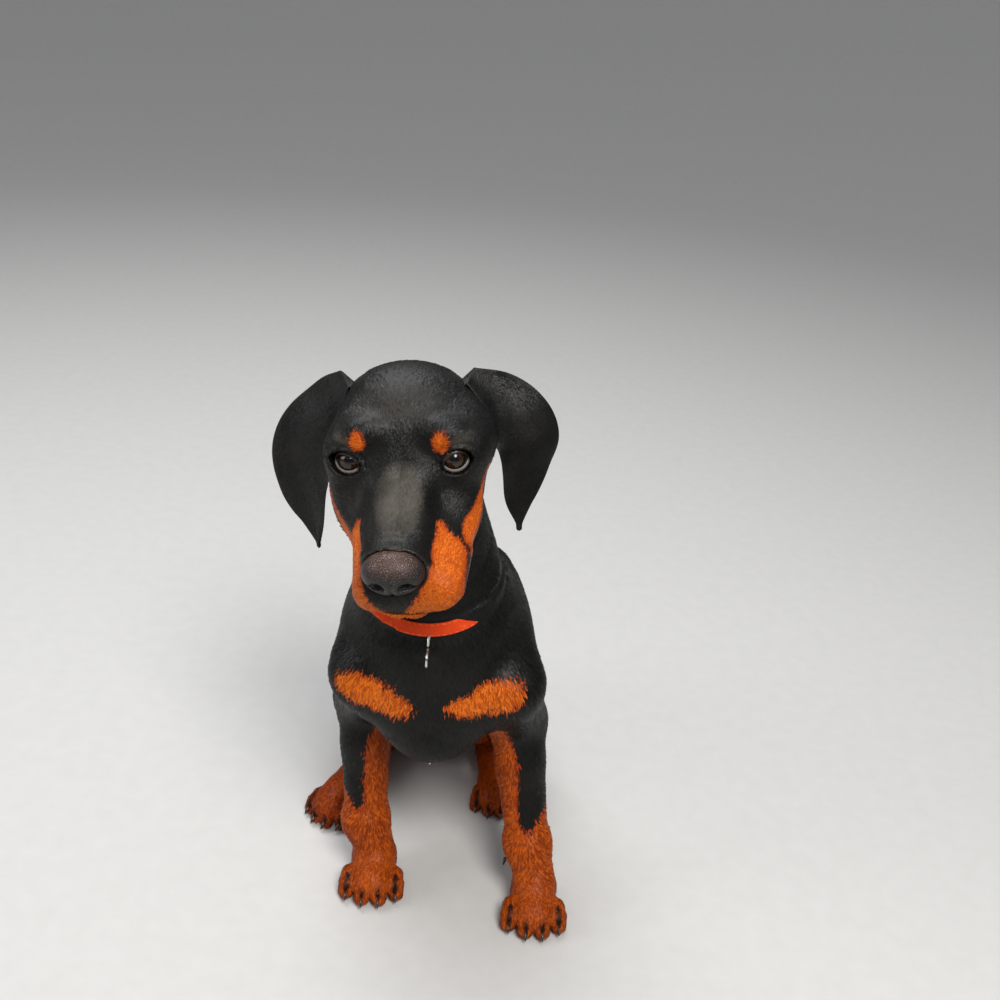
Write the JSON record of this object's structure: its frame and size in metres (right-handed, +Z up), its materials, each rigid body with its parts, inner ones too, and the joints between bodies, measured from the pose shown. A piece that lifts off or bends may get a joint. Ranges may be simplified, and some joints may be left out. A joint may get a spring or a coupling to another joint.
{
  "type": "sitting doberman pinscher puppy model",
  "caption": "Life-size still model of a black and rust doberman pinscher puppy, sitting upright with hanging ears, closed mouth and a thin orange collar with a bare tag.",
  "frame": {"origin": "bottom centre of the model's box, on the surface that the puppy sits on", "axes": "+Z up; the puppy looks along -Y; its own left side is +X"},
  "size_m": [0.2625, 0.5135, 0.4582],
  "materials": {
    "black_coat": "short, flat, glossy black coat with a soft brown-grey sheen",
    "rust_coat": "short, flat rust-orange coat",
    "nose_leather": "moist, finely pebbled dark nose leather",
    "eye": "wet, dark brown eye",
    "claw": "smooth dark horn",
    "collar_strap": "woven orange-red strap",
    "steel": "worn bright steel"
  },
  "bodies": {
    "root": {"head": "black_coat", "nose": "nose_leather", "ear_left": "black_coat", "ear_right": "black_coat", "eye_left": "eye", "eye_right": "eye", "neck": "black_coat", "torso": "black_coat", "tail": "black_coat", "foreleg_left": "black_coat", "foreleg_right": "black_coat", "forepaw_left": "rust_coat", "forepaw_right": "rust_coat", "thigh_left": "black_coat", "thigh_right": "black_coat", "shank_left": "rust_coat", "shank_right": "rust_coat", "hindpaw_left": "rust_coat", "hindpaw_right": "rust_coat", "collar": "collar_strap", "collar_ring": "steel", "tag": "steel"}
  },
  "joints": []
}
